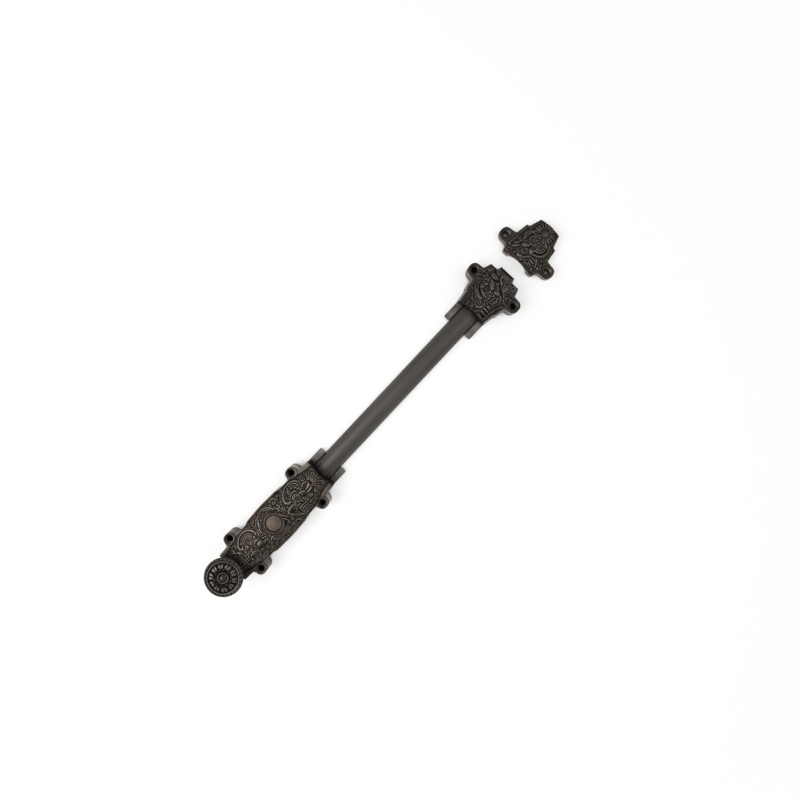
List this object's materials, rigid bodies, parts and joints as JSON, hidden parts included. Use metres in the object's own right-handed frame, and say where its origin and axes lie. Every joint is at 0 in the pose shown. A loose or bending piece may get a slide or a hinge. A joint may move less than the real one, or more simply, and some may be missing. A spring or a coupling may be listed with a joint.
{
  "type": "surface slide bolt",
  "caption": "Ornate cast surface bolt: half-round rod with a rosette knob, domed case with screw ears, lugged guide and a separate strike.",
  "frame": {"origin": "centre of the four case screw holes, on the mounting plane at the back", "axes": "+X along the rod from the knob to the strike, +Z out of the door, Z = 0 is the mounting plane"},
  "size_m": [0.3626, 0.0516, 0.0229],
  "materials": {
    "case_casting": "dark oil-rubbed bronze, cast",
    "guide_casting": "dark oil-rubbed bronze, cast",
    "strike_casting": "dark oil-rubbed bronze, cast",
    "knob_casting": "dark oil-rubbed bronze, cast",
    "rod": "oil-rubbed bronze, drawn and satin",
    "boss": "oil-rubbed bronze, rubbed lighter",
    "stem": "oil-rubbed bronze, turned",
    "back_plates": "oil-rubbed bronze, flat and satin",
    "plate_screws": "oil-rubbed bronze screws",
    "plain_brass": "bare brass, dull",
    "spring_leaf": "blued spring steel"
  },
  "bodies": {
    "fixed": {"case_cover": "case_casting", "case_back_plate": "back_plates", "case_plate_screws": "plate_screws", "centre_boss": "boss", "boss_washer": "plain_brass", "friction_spring": "spring_leaf", "guide_cover": "guide_casting", "guide_back_plate": "back_plates", "guide_plate_screws": "plate_screws", "strike": "strike_casting"},
    "bolt": {"bolt_rod": "rod", "stop_pin": "plain_brass", "knob_stem": "stem", "stem_nut": "plain_brass", "knob_collar": "stem", "knob_head": "knob_casting", "knob_cap_screw": "knob_casting"}
  },
  "joints": [
    {"name": "bolt_slide", "type": "slide", "parent": "fixed", "child": "bolt", "axis": [-1, 0, 0], "range_m": [0, 0.019]}
  ]
}
